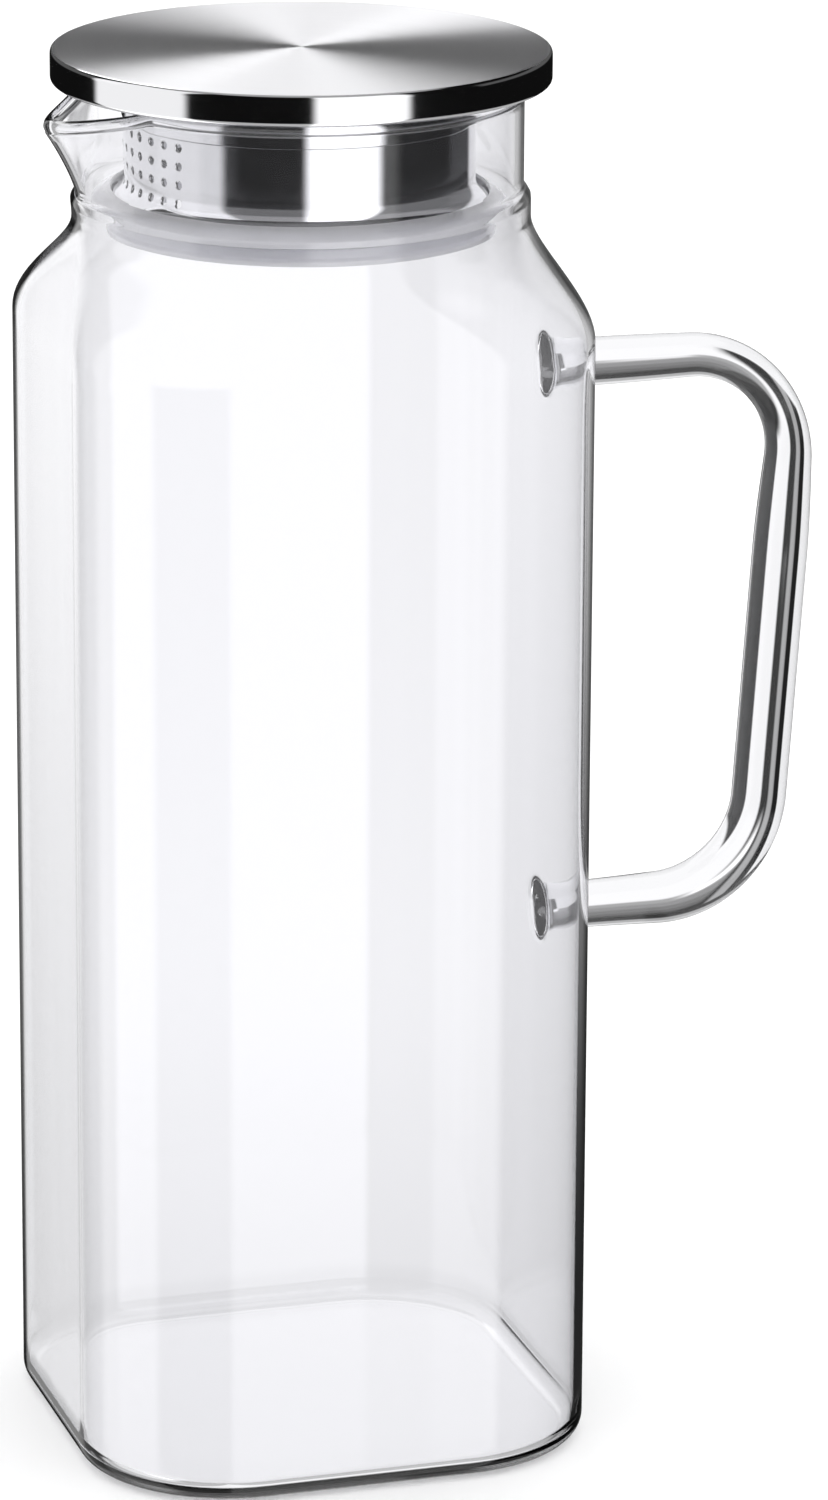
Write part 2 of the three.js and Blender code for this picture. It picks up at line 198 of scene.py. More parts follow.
# with the room turned to the camera, azimuth is atan2(x, -y) and elevation asin(z) of the direction
def lightStudio():
    world = bpy.data.worlds.new("studio")
    scene.world = world
    world.use_nodes = True
    world.cycles.sampling_method = "NONE"   # the room has no small lamps, so its light is met by chance alone
    tree = world.node_tree
    tree.nodes.clear()
    direction = addNode(tree, "ShaderNodeTexCoord", {}).outputs["Generated"]
    facing = addNode(tree, "ShaderNodeVectorRotate", {"Vector": direction, "Angle": -radians(view["azimuth"])},
                     rotation_type="Z_AXIS")
    axes = addNode(tree, "ShaderNodeSeparateXYZ", {0: facing.outputs[0]})
    towards = addNode(tree, "ShaderNodeMath", {0: axes.outputs["Y"], 1: -1.0}, operation="MULTIPLY")
    azimuth = addNode(tree, "ShaderNodeMath", {0: axes.outputs["X"], 1: towards.outputs[0]}, operation="ARCTAN2")
    elevation = addNode(tree, "ShaderNodeMath", {0: axes.outputs["Z"]}, operation="ARCSINE")

    # the dark of a setting plus all its panels
    def seenBy(finish):
        light = studio[finish]["dark"]
        for panel in studio[finish]["panels"]:
            light = addPanel(tree, panel, studio[finish]["edge"], azimuth.outputs[0], elevation.outputs[0], light)
        return light

    # the path of a ray tells what it has met, and a later choice goes before an earlier one. A reflected ray sees the
    # setting for the cap, the one for the glass where its last surface was quite smooth, and the one for the neck
    # after more than one wall. A ray that was only bent sees the setting for the rod after two crossings, or six, and
    # the white surroundings after about four, which are both walls of the body
    perWall = 2         # crossings, in and out
    slack = 1.5         # one crossing more or less
    someDepth = 0.5     # a depth above this is once or more
    path = addNode(tree, "ShaderNodeLightPath", {}).outputs
    crossings, reflections, scatters = (path[kind + " Depth"] for kind in ("Transmission", "Glossy", "Diffuse"))
    walls = addNode(tree, "ShaderNodeMath", {0: crossings, 1: perWall + someDepth}, operation="GREATER_THAN")
    both = addNode(tree, "ShaderNodeMath", {0: crossings, 1: 2 * perWall, 2: slack}, operation="COMPARE")
    bent = addNode(tree, "ShaderNodeMath", {0: reflections, 1: someDepth}, operation="LESS_THAN")
    clear = addNode(tree, "ShaderNodeMath", {0: both.outputs[0], 1: bent.outputs[0]}, operation="MULTIPLY")
    matt = addNode(tree, "ShaderNodeMath", {0: scatters, 1: someDepth}, operation="GREATER_THAN")
    light = seenBy("cap")
    choices = [(path["Is Singular Ray"], seenBy("glass")), (walls.outputs[0], seenBy("neck")),
               (bent.outputs[0], seenBy("rod")), (clear.outputs[0], seenBy("through")),
               (matt.outputs[0], studio["roomLight"]), (path["Is Camera Ray"], 1.0)]
    for choice, other in choices:
        light = addNode(tree, "ShaderNodeMix", {"Factor": choice, "A": light, "B": other}).outputs[0]
    background = addNode(tree, "ShaderNodeBackground", {"Color": (1, 1, 1, 1), "Strength": light})
    addNode(tree, "ShaderNodeOutputWorld", {"Surface": background.outputs[0]})


lightStudio()
print("studio lit")

noiseLow, noiseHigh = 0.3, 0.7             # noise seldom leaves this range
colourA, colourB, colourMixed = 6, 7, 2    # sockets of a Mix node for colours

# borosilicate glass, blown and fire polished: clear, faintly lilac in depth, with the slow waves of a blown wall
glassLook = {"tint": "#fcfcfe", "ior": 1.473, "wave": 18.0, "drawnOut": 10.0, "waveStrength": 0.03,
             "waveDepth": 1.0}


def blownGlass():
    look = glassLook
    material, tree = newMaterial("blownGlass")
    place = addNode(tree, "ShaderNodeTexCoord", {}).outputs["Object"]
    drawn = addNode(tree, "ShaderNodeMapping", {"Vector": place, "Scale": (1, 1, 1 / look["drawnOut"])})
    waves = addNode(tree, "ShaderNodeTexNoise", {
        "Vector": drawn.outputs[0], "Scale": scaleFor(look["wave"]), "Detail": 1.0})
    bump = addNode(tree, "ShaderNodeBump", {
        "Height": waves.outputs[0], "Strength": look["waveStrength"], "Distance": look["waveDepth"] * mm})
    shader = addNode(tree, "ShaderNodeBsdfPrincipled", {
        "Base Color": linear(look["tint"]), "Roughness": 0.0, "IOR": look["ior"], "Transmission Weight": 1.0,
        "Normal": bump.outputs[0]})
    addNode(tree, "ShaderNodeOutputMaterial", {"Surface": shader.outputs[0]})
    return material


# stainless sheet, brushed on a lathe: fine rings that throw the light into fans. Brush marks are 0.1 mm apart on the
# real sheet and drawn at 0.45 mm, so that they show
brushedLook = {"markPitch": 0.45, "smooth": 0.36, "rough": 0.42, "darkTone": "#d2d2d4", "lightTone": "#dedee0",
               "markStrength": 0.05, "markDepth": 0.02, "stretch": 0.9, "quarterTurn": 0.25}


# the pattern is noise of (radius, cos a, sin a), which runs in rings
def ringBrushedSteel():
    look = brushedLook
    material, tree = newMaterial("ringBrushedSteel")
    place = addNode(tree, "ShaderNodeTexCoord", {}).outputs["Object"]
    flat = addNode(tree, "ShaderNodeVectorMath", {0: place, 1: (1, 1, 0)}, operation="MULTIPLY")
    radius = addNode(tree, "ShaderNodeVectorMath", {0: flat.outputs[0]}, operation="LENGTH")
    around = addNode(tree, "ShaderNodeVectorMath", {0: flat.outputs[0]}, operation="NORMALIZE")
    turn = addNode(tree, "ShaderNodeSeparateXYZ", {0: around.outputs[0]})
    rings = addNode(tree, "ShaderNodeMath", {0: radius.outputs["Value"], 1: scaleFor(look["markPitch"])},
                    operation="MULTIPLY")
    marks = addNode(tree, "ShaderNodeCombineXYZ", {0: rings.outputs[0], 1: turn.outputs[0], 2: turn.outputs[1]})
    brushed = addNode(tree, "ShaderNodeTexNoise", {"Vector": marks.outputs[0], "Scale": 1.0, "Detail": 2.0})
    rough = addNode(tree, "ShaderNodeMapRange", {
        "Value": brushed.outputs[0], "From Min": noiseLow, "From Max": noiseHigh,
        "To Min": look["smooth"], "To Max": look["rough"]})
    tone = addNode(tree, "ShaderNodeMix", {
        "Factor": brushed.outputs[0], colourA: linear(look["darkTone"]), colourB: linear(look["lightTone"])},
        data_type="RGBA")
    bump = addNode(tree, "ShaderNodeBump", {
        "Height": brushed.outputs[0], "Strength": look["markStrength"], "Distance": look["markDepth"] * mm})
    tangent = addNode(tree, "ShaderNodeTangent", {}, direction_type="UV_MAP", uv_map="surface")
    shader = addNode(tree, "ShaderNodeBsdfPrincipled", {
        "Base Color": tone.outputs[colourMixed], "Metallic": 1.0, "Roughness": rough.outputs[0],
        "Anisotropic": look["stretch"], "Anisotropic Rotation": look["quarterTurn"],
        "Tangent": tangent.outputs[0], "Normal": bump.outputs[0]})
    addNode(tree, "ShaderNodeOutputMaterial", {"Surface": shader.outputs[0]})
    return material


# stainless sheet, buffed to a mirror: clean reflections, hazed a little in patches by wiping
buffedLook = {"patch": 9.0, "smooth": 0.05, "rough": 0.1, "tone": "#dcdcde"}


def buffedSteel():
    look = buffedLook
    material, tree = newMaterial("buffedSteel")
    place = addNode(tree, "ShaderNodeTexCoord", {}).outputs["Object"]
    wiped = addNode(tree, "ShaderNodeTexNoise", {"Vector": place, "Scale": scaleFor(look["patch"]), "Detail": 3.0})
    rough = addNode(tree, "ShaderNodeMapRange", {
        "Value": wiped.outputs[0], "From Min": noiseLow, "From Max": noiseHigh,
        "To Min": look["smooth"], "To Max": look["rough"]})
    shader = addNode(tree, "ShaderNodeBsdfPrincipled", {
        "Base Color": linear(look["tone"]), "Metallic": 1.0, "Roughness": rough.outputs[0]})
    addNode(tree, "ShaderNodeOutputMaterial", {"Surface": shader.outputs[0]})
    return material


# stainless sheet as it leaves the press, inside the lid: satin, with the grain of the rolled sheet
rolledLook = {"grain": 0.6, "drawnOut": 25.0, "smooth": 0.3, "rough": 0.42, "darkTone": "#c6c6c9",
              "lightTone": "#d2d2d5"}


def rolledSteel():
    look = rolledLook
    material, tree = newMaterial("rolledSteel")
    place = addNode(tree, "ShaderNodeTexCoord", {}).outputs["Object"]
    along = addNode(tree, "ShaderNodeMapping", {"Vector": place, "Scale": (1 / look["drawnOut"], 1, 1)})
    grain = addNode(tree, "ShaderNodeTexNoise", {
        "Vector": along.outputs[0], "Scale": scaleFor(look["grain"]), "Detail": 2.0})
    rough = addNode(tree, "ShaderNodeMapRange", {
        "Value": grain.outputs[0], "From Min": noiseLow, "From Max": noiseHigh,
        "To Min": look["smooth"], "To Max": look["rough"]})
    tone = addNode(tree, "ShaderNodeMix", {
        "Factor": grain.outputs[0], colourA: linear(look["darkTone"]), colourB: linear(look["lightTone"])},
        data_type="RGBA")
    shader = addNode(tree, "ShaderNodeBsdfPrincipled", {
        "Base Color": tone.outputs[colourMixed], "Metallic": 1.0, "Roughness": rough.outputs[0]})
    addNode(tree, "ShaderNodeOutputMaterial", {"Surface": shader.outputs[0]})
    return material


# silicone rubber, moulded in a blasted mould: milky, soft in depth, with a fine matt skin
siliconeLook = {"grit": 0.5, "cloud": 7.0, "darkTone": "#e2e2e6", "lightTone": "#e8e8ec", "smooth": 0.26,
                "rough": 0.34, "gritStrength": 0.2, "gritDepth": 0.02, "ior": 1.41, "milk": 0.9, "milkDepth": 3.0,
                "skinRough": 0.12}


def milkySilicone():
    look = siliconeLook
    material, tree = newMaterial("milkySilicone")
    place = addNode(tree, "ShaderNodeTexCoord", {}).outputs["Object"]
    grit = addNode(tree, "ShaderNodeTexNoise", {"Vector": place, "Scale": scaleFor(look["grit"]), "Detail": 2.0})
    cloud = addNode(tree, "ShaderNodeTexNoise", {"Vector": place, "Scale": scaleFor(look["cloud"]), "Detail": 1.0})
    tone = addNode(tree, "ShaderNodeMix", {
        "Factor": cloud.outputs[0], colourA: linear(look["darkTone"]), colourB: linear(look["lightTone"])},
        data_type="RGBA")
    rough = addNode(tree, "ShaderNodeMapRange", {
        "Value": grit.outputs[0], "From Min": noiseLow, "From Max": noiseHigh,
        "To Min": look["smooth"], "To Max": look["rough"]})
    bump = addNode(tree, "ShaderNodeBump", {
        "Height": grit.outputs[0], "Strength": look["gritStrength"], "Distance": look["gritDepth"] * mm})
    shader = addNode(tree, "ShaderNodeBsdfPrincipled", {
        "Base Color": tone.outputs[colourMixed], "Roughness": rough.outputs[0], "IOR": look["ior"],
        "Subsurface Weight": look["milk"], "Subsurface Radius": (1.0, 1.0, 1.0),
        "Subsurface Scale": look["milkDepth"] * mm, "Coat Weight": 1.0, "Coat Roughness": look["skinRough"],
        "Normal": bump.outputs[0]})
    addNode(tree, "ShaderNodeOutputMaterial", {"Surface": shader.outputs[0]})
    return material


# matt white board under the carafe, very slightly cloudy
boardLook = {"cloud": 40.0, "darkTone": "#fdfdfd", "lightTone": "#fefefe"}


def whiteBoard():
    look = boardLook
    material, tree = newMaterial("whiteBoard")
    place = addNode(tree, "ShaderNodeTexCoord", {}).outputs["Object"]
    cloud = addNode(tree, "ShaderNodeTexNoise", {"Vector": place, "Scale": scaleFor(look["cloud"]), "Detail": 2.0})
    tone = addNode(tree, "ShaderNodeMix", {
        "Factor": cloud.outputs[0], colourA: linear(look["darkTone"]), colourB: linear(look["lightTone"])},
        data_type="RGBA")
    shader = addNode(tree, "ShaderNodeBsdfDiffuse", {"Color": tone.outputs[colourMixed]})
    addNode(tree, "ShaderNodeOutputMaterial", {"Surface": shader.outputs[0]})
    return material


glass, brushedSteel, polishedSteel = blownGlass(), ringBrushedSteel(), buffedSteel()
pressedSteel, silicone, board = rolledSteel(), milkySilicone(), whiteBoard()
print("materials mixed")

weldDistance = 1e-6   # metres, joins seams and poles
guard = 0.03          # mm, narrow strip beside an edge that keeps the flats next to it flat
cornerSteps = 7       # points round a softened corner
roundSides = 192      # columns round a turned piece


# quad (r, c) of a grid joins points (r, c), (r, c+1), (r+1, c+1) and (r+1, c), and the last column joins the first.
# Its UV runs along columns and rows
def surface(points, keep=None, finish=0):
    rows, columns = points.shape[:2]
    row, column = np.mgrid[0:rows - 1, 0:columns]
    corners = [(row, column), (row, column + 1), (row + 1, column + 1), (row + 1, column)]
    quads = np.stack([r * columns + c % columns for r, c in corners], -1)
    uv = np.stack([np.stack([c / columns, r / rows], -1) for r, c in corners], -2)
    finishes = np.broadcast_to(finish, row.shape)
    kept = np.ones(row.shape, bool) if keep is None else keep
    return points.reshape(-1, 3), quads[kept], uv[kept], finishes[kept]


# puts surfaces in millimetres into one mesh in metres, and joins their seams and poles
def makePiece(name, surfaces, materials):
    firsts = np.cumsum([0] + [len(points) for points, *_ in surfaces])
    points = np.concatenate([points for points, *_ in surfaces])
    quads = np.concatenate([quads + first for (_, quads, *_), first in zip(surfaces, firsts)])
    used, places = np.unique(quads, return_inverse=True)
    mesh = bpy.data.meshes.new(name)
    mesh.from_pydata((points[used] * mm).tolist(), [], places.reshape(-1, 4).tolist())
    uv = np.concatenate([uv for _, _, uv, _ in surfaces])
    finishes = np.concatenate([finish for *_, finish in surfaces])
    mesh.uv_layers.new(name="surface").data.foreach_set("uv", uv.ravel())
    mesh.polygons.foreach_set("material_index", finishes.astype(np.int32))
    mesh.polygons.foreach_set("use_smooth", np.ones(len(quads), bool))
    for material in materials:
        mesh.materials.append(material)
    joined = bmesh.new()
    joined.from_mesh(mesh)
    bmesh.ops.remove_doubles(joined, verts=joined.verts, dist=weldDistance)
    joined.to_mesh(mesh)
    joined.free()
    piece = bpy.data.objects.new(name, mesh)
    scene.collection.objects.link(piece)
    return piece


# hangs a piece on its body, in place of the CAD nodes that it stands for
def dress(piece, body, slot, *nodes):
    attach(piece, body)
    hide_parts(*nodes)
    print(piece.name, "made with", len(piece.data.polygons), "faces")


# an outline whose corners are each replaced by a short parabola, from rounding before the corner to rounding after
# it, or less where the next corner is near; guard points beyond its ends keep the flats flat
def softened(outline, rounding, closed=False):
    cornerShare, guardShare = 0.4, 0.05   # at most these shares of a flat
    corner = np.asarray(outline, float)
    before, after = np.roll(corner, 1, 0) - corner, np.roll(corner, -1, 0) - corner
    lengthBefore = np.linalg.norm(before, axis=1, keepdims=True)
    lengthAfter = np.linalg.norm(after, axis=1, keepdims=True)
    shorter = np.minimum(lengthBefore, lengthAfter)
    reach = np.minimum(rounding, cornerShare * shorter)
    start, end = corner + before / lengthBefore * reach, corner + after / lengthAfter * reach
    strip = np.minimum(guard, guardShare * shorter)
    t = np.linspace(0, 1, cornerSteps)[None, :, None]
    curve = (1 - t) ** 2 * start[:, None] + 2 * t * (1 - t) * corner[:, None] + t ** 2 * end[:, None]
    first = (start + before / lengthBefore * strip)[:, None]
    last = (end + after / lengthAfter * strip)[:, None]
    rounded = np.concatenate([first, curve, last], 1)
    if closed:
        loop = rounded.reshape(-1, 2)
        return np.concatenate([loop, loop[:1]])
    return np.concatenate([corner[:1], rounded[1:-1].reshape(-1, 2), corner[-1:]])


# a profile of (radius, height) turned round Z: x = r cos a, y = r sin a, z = h
def turned(profile, sides=roundSides, finish=0):
    angle = np.linspace(0, 2 * pi, sides, endpoint=False)
    radius, height = profile[:, :1], profile[:, 1:]
    points = np.stack([radius * np.cos(angle), radius * np.sin(angle), height * np.ones(sides)], -1)
    return surface(points, finish=finish)


# points of a circle, centre + radius (cos a, sin a), from a start to an end in degrees
def arcPoints(centre, radius, start, end, steps):
    angle = np.radians(np.linspace(start, end, steps + 1))
    return np.stack([centre[0] + radius * np.cos(angle), centre[1] + radius * np.sin(angle)], 1)


# smooth step from 0 at the low edge to 1 at the high edge: t squared times 3 - 2 t
def smoothStep(value, low, high):
    t = np.clip((value - low) / (high - low), 0, 1)
    return t * t * (3 - 2 * t)


# Glass: the blown body and the bent rod, which are fused and so are one skin
bodyBox = np.array(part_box("carafe_body")) / mm
glassBody = {
    "half": bodyBox[1][1],       # flat side from the axis
    "corner": 28.0,              # rounding of the square
    "shoulderFoot": 206.0,
    "shoulderBulge": 7.7,        # how far the shoulder goes on upright before it leans in
    "shoulderSweep": 6.0,        # and how far it comes up to the neck
    "neckFoot": 226.0,
    "neck": 39.6,
    "neckSwell": 1.3,            # swelling at the foot of the neck
    "swellTop": 232.0,
    "swellEase": 2.6,
    "rim": bodyBox[1][2],
    "wall": 1.6,
    "bead": 2.2,                 # thickness of the fused rim
    "beadHeight": 2.7,
    "beadOut": 0.35,
    "beadTurn": 45,              # degrees past level, on both sides
    "base": 2.0,
    "baseEdge": 3.4,
    "floorEdge": 3.0,
    "lipReach": 7.0,
    "lipDepth": 24.0,
    "lipDrop": 4.6,
    "lipTip": 5.0,               # degrees, rounding of the tip
    "lipSwell": 1.4,             # power of the height
    "lipSpread": 0.42,           # power of the pull
    "columns": 240,
    "rowPitch": 1.9,
    "shoulderRows": 21,
    "swellRows": 8,
    "neckRows": 12,
    "edgeSteps": 9,
    "beadSteps": 20,
    "discRows": 8,
    "innerRows": 58,
}
rodHandle = {
    "upperFoot": 195.4,
    "lowerFoot": 92.1,
    "upperReach": 47.0,
    "lowerReach": 40.0,
    "upperBend": 19.5,
    "lowerBend": 20.0,
    "rod": 4.4,
    "grip": 5.1,
    "flare": 1.7,                # spread of a foot
    "footLength": 4.0,
    "upperThin": 40.0,           # where the rod starts to swell to the grip, and over what length
    "upperTaper": 35.0,
    "lowerThin": 4.0,
    "lowerTaper": 30.0,
    "squeeze": 0.6,              # how much thinner the rod was pulled in the upper bend
    "squeezeReach": 1.1,         # share of the bend's length, each way
    "patch": 8,                  # columns of the wall on each side of a foot that are relaid round it
    "skirtRows": 7,
    "footRows": 13,
    "rings": 148,
    "pathSteps": 6000,
}


# reach from the axis to a rounded square at an angle. With wide and narrow the larger and the smaller of |cos| and
# |sin| it is half / wide on a flat, and where the ray cuts the corner's circle elsewhere
def roundedSquare(half, corner, angle):
    cos, sin = np.abs(np.cos(angle)), np.abs(np.sin(angle))
    wide, narrow = np.maximum(cos, sin), np.minimum(cos, sin)
    straight = half - corner
    rounded = straight * (wide + narrow) + np.sqrt(np.maximum(corner ** 2 - (straight * (wide - narrow)) ** 2, 0))
    return np.where(half * narrow <= straight * wide, half / wide, rounded)


# the lip: seen from above its two edges leave the neck along tangents and meet at a rounded tip. The pull fades out
# down the neck as a power of the height, and the drop spreads wider than the pull, as a power of it
def pulledIntoLip(points):
    g = glassBody
    tangentAngle = np.arccos(g["neck"] / (g["neck"] + g["lipReach"]))
    rounding = radians(g["lipTip"])
    radius = np.hypot(points[..., 0], points[..., 1])
    climb = np.clip((points[..., 2] - g["rim"] + g["lipDepth"]) / (g["lipDepth"] - g["beadHeight"]), 0, 1)
    turn = np.minimum(np.hypot(np.arctan2(points[..., 1], -points[..., 0]), rounding), tangentAngle)
    share = (1 / np.cos(tangentAngle - turn) - 1) / (1 / np.cos(tangentAngle - rounding) - 1)
    swell = climb ** g["lipSwell"]
    grow = 1 + g["lipReach"] * share * swell / np.maximum(radius, 1)
    drop = g["lipDrop"] * np.maximum(share, 0) ** g["lipSpread"] * swell
    return np.stack([points[..., 0] * grow, points[..., 1] * grow, points[..., 2] - drop], -1)


# rows of (half width, corner radius, height): up the outside from the middle of the base, over the rim and down the
# inside to the middle of the floor
def wallRows(footRows):
    g = glassBody
    footRadius = g["neck"] + g["neckSwell"]

    # between the body's section at blend 0 and the round neck at blend 1, moved in by inset
    def section(inset, height, blend):
        half = g["half"] + (footRadius - g["half"]) * blend - inset
        corner = g["corner"] + (footRadius - g["corner"]) * blend - inset
        return np.stack(np.broadcast_arrays(half, corner, height), 1)

    # the neck, whose swelling ends in a smooth step
    def neck(inset, height):
        ease = smoothStep(height, g["swellTop"] - g["swellEase"], g["swellTop"])
        radius = footRadius - g["neckSwell"] * ease - inset
        return np.stack([radius, radius, height], 1)

    # level rows, each a share of the body's section
    def disc(inset, height, shares):
        rows = section(np.full(len(shares), inset), height, 0)
        rows[:, :2] *= shares[:, None]
        return rows

    # the lean of the shoulder is a cubic curve from the body's section to the neck's
    t = np.linspace(0, 1, g["shoulderRows"])
    blend = 3 * t ** 2 * (1 - t) + t ** 3
    lean = ((1 - t) ** 3 * g["shoulderFoot"] + 3 * t * (1 - t) ** 2 * (g["shoulderFoot"] + g["shoulderBulge"])
            + 3 * t ** 2 * (1 - t) * (g["neckFoot"] - g["shoulderSweep"]) + t ** 3 * g["neckFoot"])
    fall = g["wall"] * np.sin(np.arctan((g["half"] - footRadius) / (g["neckFoot"] - g["shoulderFoot"])))
    toBead = np.concatenate([np.linspace(g["neckFoot"], g["swellTop"], g["swellRows"] + 1)[1:],
                             np.linspace(g["swellTop"], g["rim"] - g["beadHeight"], g["neckRows"] + 1)[1:]])
    edge = arcPoints((0, g["baseEdge"]), g["baseEdge"], -90, 0, g["edgeSteps"])
    bead = arcPoints((0, 0), 1, -g["beadTurn"], 180 + g["beadTurn"], g["beadSteps"])
    inEdge = arcPoints((0, g["base"] + g["floorEdge"]), g["floorEdge"], 0, -90, g["edgeSteps"])
    shares = np.linspace(0, 1, g["discRows"] + 1)[:-1]
    innerWall = np.linspace(g["shoulderFoot"] - fall, g["base"] + g["floorEdge"], g["innerRows"] + 2)[1:-1]
    return np.concatenate([
        disc(g["baseEdge"], 0, shares),
        section(g["baseEdge"] - edge[:, 0], edge[:, 1], 0),
        section(0, footRows, np.zeros_like(footRows)),
        section(0, lean, blend),
        neck(0, toBead),
        neck(g["bead"] / 2 * (1 - bead[:, 0]) - g["beadOut"], g["rim"] - g["beadHeight"] / 2 * (1 - bead[:, 1])),
        neck(g["wall"], toBead[::-1]),
        section(g["wall"], (lean - fall)[::-1], blend[::-1]),
        section(g["wall"], innerWall, np.zeros_like(innerWall)),
        section(g["wall"] + g["floorEdge"] - inEdge[:, 0], inEdge[:, 1], 0),
        disc(g["wall"] + g["floorEdge"], g["base"], shares[::-1]),
    ])


# the rod's path in the plane of the handle: its heading is steady along a run and turns evenly round a bend, and the
# path is the running sum of the heading's cosine and sine
def rodPath():
    h = rodHandle
    span = h["upperFoot"] - h["lowerFoot"]
    lean = np.arctan2(h["upperReach"] - h["lowerReach"], span)
    turns = np.array([pi / 2 + lean, pi / 2 - lean])
    cut = np.array([h["upperBend"], h["lowerBend"]]) * np.tan(turns / 2)
    grip = np.hypot(span, h["upperReach"] - h["lowerReach"]) - cut.sum()
    lengths = [h["upperReach"] - cut[0], h["upperBend"] * turns[0], grip, h["lowerBend"] * turns[1],
               h["lowerReach"] - cut[1]]
    knots = np.concatenate([[0], np.cumsum(lengths)])
    headings = -np.array([0, 0, turns[0], turns[0], pi, pi])
    distance = np.linspace(0, knots[-1], h["pathSteps"])
    heading = np.interp(distance, knots, headings)
    step = np.diff(distance)
    middle = np.interp(distance[:-1] + step / 2, knots, headings)
    out = np.concatenate([[0], np.cumsum(np.cos(middle) * step)])
    up = np.concatenate([[0], np.cumsum(np.sin(middle) * step)])
    return distance, out, up, heading, knots


# the walls are rows of rounded squares, (reach cos a, reach sin a, height), pulled into the lip. The rod joins them
# at its two feet
def makeGlass():
    g, h = glassBody, rodHandle
    angle = np.linspace(0, 2 * pi, g["columns"], endpoint=False)
    patch = np.arange(-h["patch"], h["patch"] + 1)
    side = g["half"] * np.tan(patch * 2 * pi / g["columns"])      # columns of a foot's patch, across the flat side
    feet = [h["lowerFoot"], h["upperFoot"]]
    stretches = [g["baseEdge"], feet[0] + side[0], feet[0] + side[-1], feet[1] + side[0], feet[1] + side[-1],
                 g["shoulderFoot"]]
    plain = [np.linspace(a, b, 2 + int((b - a) / g["rowPitch"]))[1:-1]
             for a, b in zip(stretches[::2], stretches[1::2])]
    footRows = np.concatenate([plain[0], feet[0] + side, plain[1], feet[1] + side, plain[2]])
    rows = wallRows(footRows)
    reach = roundedSquare(rows[:, :1], rows[:, 1:2], angle)
    walls = np.stack([reach * np.cos(angle), reach * np.sin(angle), rows[:, 2:] + 0 * reach], -1)

    # the wall is left open over each foot's patch, and a ring of quads leads from the patch's edge to the foot
    quadRow = (rows[:-1, 2] + rows[1:, 2])[:, None] / 2
    outside = (np.arange(len(rows) - 1) < len(rows) // 2)[:, None]
    quadColumn = (np.arange(g["columns"]) + h["patch"]) % g["columns"] < 2 * h["patch"]
    overFoot = [abs(quadRow - foot) < side[-1] for foot in feet]
    keep = ~(outside & quadColumn & (overFoot[0] | overFoot[1]))
    surfaces = [surface(pulledIntoLip(walls), keep=keep)]

    onward, backward = side[:-1], side[:0:-1]
    low, high = np.full_like(onward, side[0]), np.full_like(onward, side[-1])
    border = np.concatenate([np.stack([onward, low], 1), np.stack([high, onward], 1),
                             np.stack([backward, high], 1), np.stack([low, backward], 1)])
    turn = np.arctan2(border[:, 1], border[:, 0])
    footRadius = h["rod"] + h["flare"]
    ring = footRadius * np.stack([np.cos(turn), np.sin(turn)], 1)
    spread = np.linspace(0, 1, h["skirtRows"])[:, None, None]
    skirt = border + (ring - border) * spread
    for foot in feet:
        points = np.concatenate([np.full((*skirt.shape[:2], 1), g["half"]), skirt], -1) + (0, 0, foot)
        surfaces.append(surface(points))

    # the rod: rings square to its path, with a foot that spreads along a quarter ellipse
    distance, out, up, heading, knots = rodPath()
    length = distance[-1]
    foot = h["footLength"] * (1 - np.sin(np.linspace(pi / 2, 0, h["footRows"])))
    between = np.linspace(h["footLength"], length - h["footLength"], h["rings"] + 2)[1:-1]
    stations = np.concatenate([foot, between, (length - foot)[::-1]])
    near = np.minimum(stations, length - stations)
    short = np.maximum(1 - near / h["footLength"], 0)
    flare = h["flare"] * (1 - np.sqrt(1 - short ** 2))
    swell = (smoothStep(stations, h["upperThin"], h["upperThin"] + h["upperTaper"])
             * smoothStep(length - stations, h["lowerThin"], h["lowerThin"] + h["lowerTaper"]))
    offBend = abs(stations - (knots[1] + knots[2]) / 2) / (h["squeezeReach"] * (knots[2] - knots[1]))
    squeeze = h["squeeze"] * np.cos(np.minimum(offBend, 1) * pi / 2) ** 2
    radius = (h["rod"] + (h["grip"] - h["rod"]) * swell - squeeze + flare)[:, None]
    x, z, course = (np.interp(stations, distance, values)[:, None] for values in (out, up, heading))
    across, rise = radius * np.cos(turn), radius * np.sin(turn)
    rod = np.stack([g["half"] + x - rise * np.sin(course), across, h["upperFoot"] + z + rise * np.cos(course)], -1)
    rod[[0, -1], :, 0] = g["half"]
    rod[-1, :, 2] = h["lowerFoot"] - rise[-1]
    surfaces.append(surface(rod))
    piece = makePiece("glass_body_with_handle", surfaces, [glass])
    dress(piece, "carafe", "glass", "carafe_body", "handle")


makeGlass()

# Lid cap: flat top, rounded edge, and a skirt whose foot is turned in
capBox = np.array(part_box("lid_cap")) / mm
cap = {"radius": capBox[1][0], "foot": capBox[0][2], "top": capBox[1][2], "sheet": 0.8, "hem": 2.2, "edge": 1.0,
       "brushedDepth": 0.15, "topRings": 24, "sides": 256}


